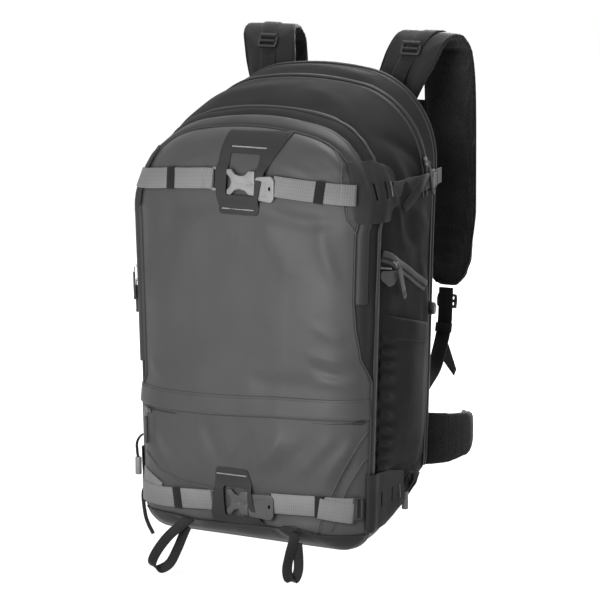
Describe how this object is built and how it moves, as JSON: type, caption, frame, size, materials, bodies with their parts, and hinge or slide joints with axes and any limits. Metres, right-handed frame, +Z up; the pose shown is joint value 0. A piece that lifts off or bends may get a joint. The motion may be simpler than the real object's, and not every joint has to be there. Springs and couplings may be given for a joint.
{
  "type": "ski backpack",
  "caption": "Panel-loading ski backpack with zipped front pockets, hook-buckled ski straps, ice-axe loops, a hinged back door with frame, and a full harness with hip belt.",
  "frame": {"origin": "under the crown of the haul loop, on the pack's middle plane, where the pack is hung or held", "axes": "+X right as seen from the front, +Y towards the wearer's back, +Z up"},
  "size_m": [0.3488, 0.3611, 0.648],
  "materials": {
    "coated_fabric": "matte coated weave",
    "shell_fabric": "matte coated weave",
    "boot_fabric": "tough matte weave",
    "piping": "matte binding",
    "zip_tape": "woven tape, moulded coil",
    "stretch_fabric": "stretch knit",
    "patch": "matte welded laminate",
    "grey_webbing": "flat woven webbing",
    "elastic": "woven elastic",
    "grey_plastic": "moulded acetal",
    "black_plastic": "moulded acetal",
    "black_webbing": "flat woven webbing",
    "slider_metal": "satin",
    "pull_cord": "moulded cord end",
    "back_fabric": "laminated panel",
    "frame_sheet": "polyethylene sheet",
    "stay_metal": "anodised",
    "mesh_pad": "mesh over foam"
  },
  "bodies": {
    "root": {"main_shell": "shell_fabric", "front_gusset": "coated_fabric", "front_panel": "coated_fabric", "lower_pocket_panel": "coated_fabric", "piping": "piping", "divider": "shell_fabric", "pocket_flap": "coated_fabric", "base_boot": "boot_fabric", "front_zip": "zip_tape", "main_zip": "zip_tape", "door_zip": "zip_tape", "pocket_zip": "zip_tape", "side_zip": "zip_tape", "side_pocket_right": "stretch_fabric", "side_pocket_left": "stretch_fabric", "upper_centre_patch": "patch", "lower_centre_patch": "patch", "side_patches": "patch", "upper_webbing_right": "grey_webbing", "upper_webbing_left": "grey_webbing", "upper_buckle_frame": "grey_plastic", "lower_webbing_right": "grey_webbing", "lower_webbing_left": "grey_webbing", "lower_buckle_frame": "black_plastic", "webbing_keepers": "elastic", "compression_straps": "black_webbing", "compression_buckles": "black_plastic", "yoke_panel": "back_fabric", "haul_loop": "black_webbing"},
    "front_upper_slider": {"front_upper_slider": "slider_metal"},
    "front_upper_pull": {"front_upper_pull": "pull_cord"},
    "front_lower_slider": {"front_lower_slider": "slider_metal"},
    "front_lower_pull": {"front_lower_pull": "pull_cord"},
    "pocket_slider": {"pocket_slider": "slider_metal"},
    "pocket_pull": {"pocket_pull": "pull_cord"},
    "side_slider": {"side_slider": "slider_metal"},
    "side_pull": {"side_pull": "pull_cord"},
    "main_slider": {"main_slider": "slider_metal"},
    "main_pull": {"main_pull": "pull_cord"},
    "upper_hook": {"upper_buckle_hook": "grey_plastic"},
    "lower_hook": {"lower_buckle_hook": "black_plastic"},
    "ice_loop_left": {"ice_axe_loop_left": "black_webbing"},
    "ice_loop_right": {"ice_axe_loop_right": "black_webbing"},
    "sternum_strap": {"sternum_clips": "black_plastic", "sternum_webbing": "black_webbing", "sternum_buckle": "black_plastic"},
    "hip_wing_right": {"hip_wing_right": "mesh_pad", "hip_strap_right": "black_webbing"},
    "hip_wing_left": {"hip_wing_left": "mesh_pad", "hip_strap_left": "black_webbing"},
    "back_door": {"back_door": "back_fabric", "frame_sheet": "frame_sheet", "frame_stays": "stay_metal", "back_pads": "mesh_pad", "lumbar_pad": "mesh_pad", "shoulder_strap_right": "mesh_pad", "shoulder_strap_left": "mesh_pad", "load_lifters": "black_webbing", "lower_straps": "black_webbing", "ladder_locks": "black_plastic"}
  },
  "joints": [
    {"name": "door_swing", "type": "hinge", "parent": "root", "child": "back_door", "pos_m": [0, -0.0102, -0.498], "axis": [-1, 0, 0], "range_deg": [0, 105]},
    {"name": "front_upper_slide", "type": "slide", "parent": "root", "child": "front_upper_slider", "axis": [-0.0284, 0, 0.9996], "range_m": [0, 0.062]},
    {"name": "front_upper_pull_swing", "type": "hinge", "parent": "front_upper_slider", "child": "front_upper_pull", "pos_m": [-0.1647, -0.20174, -0.22709], "axis": [-0.3763, 0.9264, -0.0107], "range_deg": [0, 80]},
    {"name": "front_lower_slide", "type": "slide", "parent": "root", "child": "front_lower_slider", "axis": [0.0284, 0, -0.9996], "range_m": [0, 0.085]},
    {"name": "front_lower_pull_swing", "type": "hinge", "parent": "front_lower_slider", "child": "front_lower_pull", "pos_m": [-0.16693, -0.19507, -0.24416], "axis": [-0.3766, 0.9263, -0.0107], "range_deg": [0, 80]},
    {"name": "pocket_slide", "type": "hinge", "parent": "root", "child": "pocket_slider", "pos_m": [-0.06337, -0.04051, -0.40045], "axis": [0, 0, 1], "range_deg": [0, 22.31]},
    {"name": "pocket_pull_swing", "type": "hinge", "parent": "pocket_slider", "child": "pocket_pull", "pos_m": [-0.13784, -0.22031, -0.40045], "axis": [-0.9239, 0.3827, 0], "range_deg": [0, 80]},
    {"name": "side_slide", "type": "slide", "parent": "root", "child": "side_slider", "axis": [-0.0747, 0.916, -0.3941], "range_m": [0, 0.07]},
    {"name": "side_pull_swing", "type": "hinge", "parent": "side_slider", "child": "side_pull", "pos_m": [0.17089, -0.14721, -0.20261], "axis": [0.0686, -0.9976, 0], "range_deg": [0, 80]},
    {"name": "main_slide", "type": "hinge", "parent": "root", "child": "main_slider", "pos_m": [0.055, -0.0616, -0.11084], "axis": [0, -1, 0], "range_deg": [0, 60]},
    {"name": "main_pull_swing", "type": "hinge", "parent": "main_slider", "child": "main_pull", "pos_m": [0.1672, -0.0616, -0.09141], "axis": [0, -1, 0], "range_deg": [0, 80]},
    {"name": "upper_hook_swing", "type": "hinge", "parent": "root", "child": "upper_hook", "pos_m": [-0.0144, -0.23187, -0.114], "axis": [0, 0, -1], "range_deg": [0, 100]},
    {"name": "lower_hook_swing", "type": "hinge", "parent": "root", "child": "lower_hook", "pos_m": [-0.0144, -0.23352, -0.498], "axis": [0, 0, -1], "range_deg": [0, 100]},
    {"name": "ice_loop_left_swing", "type": "hinge", "parent": "root", "child": "ice_loop_left", "pos_m": [-0.078, -0.2194, -0.52441], "axis": [-1, 0, 0], "range_deg": [0, 80]},
    {"name": "ice_loop_right_swing", "type": "hinge", "parent": "root", "child": "ice_loop_right", "pos_m": [0.074, -0.2194, -0.52674], "axis": [-1, 0, 0], "range_deg": [0, 80]},
    {"name": "sternum_slide", "type": "slide", "parent": "back_door", "child": "sternum_strap", "axis": [0, 0, 1], "range_m": [-0.06, 0.012]},
    {"name": "hip_wing_right_fold", "type": "hinge", "parent": "back_door", "child": "hip_wing_right", "pos_m": [0.1008, 0.0045, -0.45], "axis": [0, 0, 1], "range_deg": [0, 40]},
    {"name": "hip_wing_left_fold", "type": "hinge", "parent": "back_door", "child": "hip_wing_left", "pos_m": [-0.1008, 0.0045, -0.45], "axis": [0, 0, -1], "range_deg": [0, 40]}
  ]
}
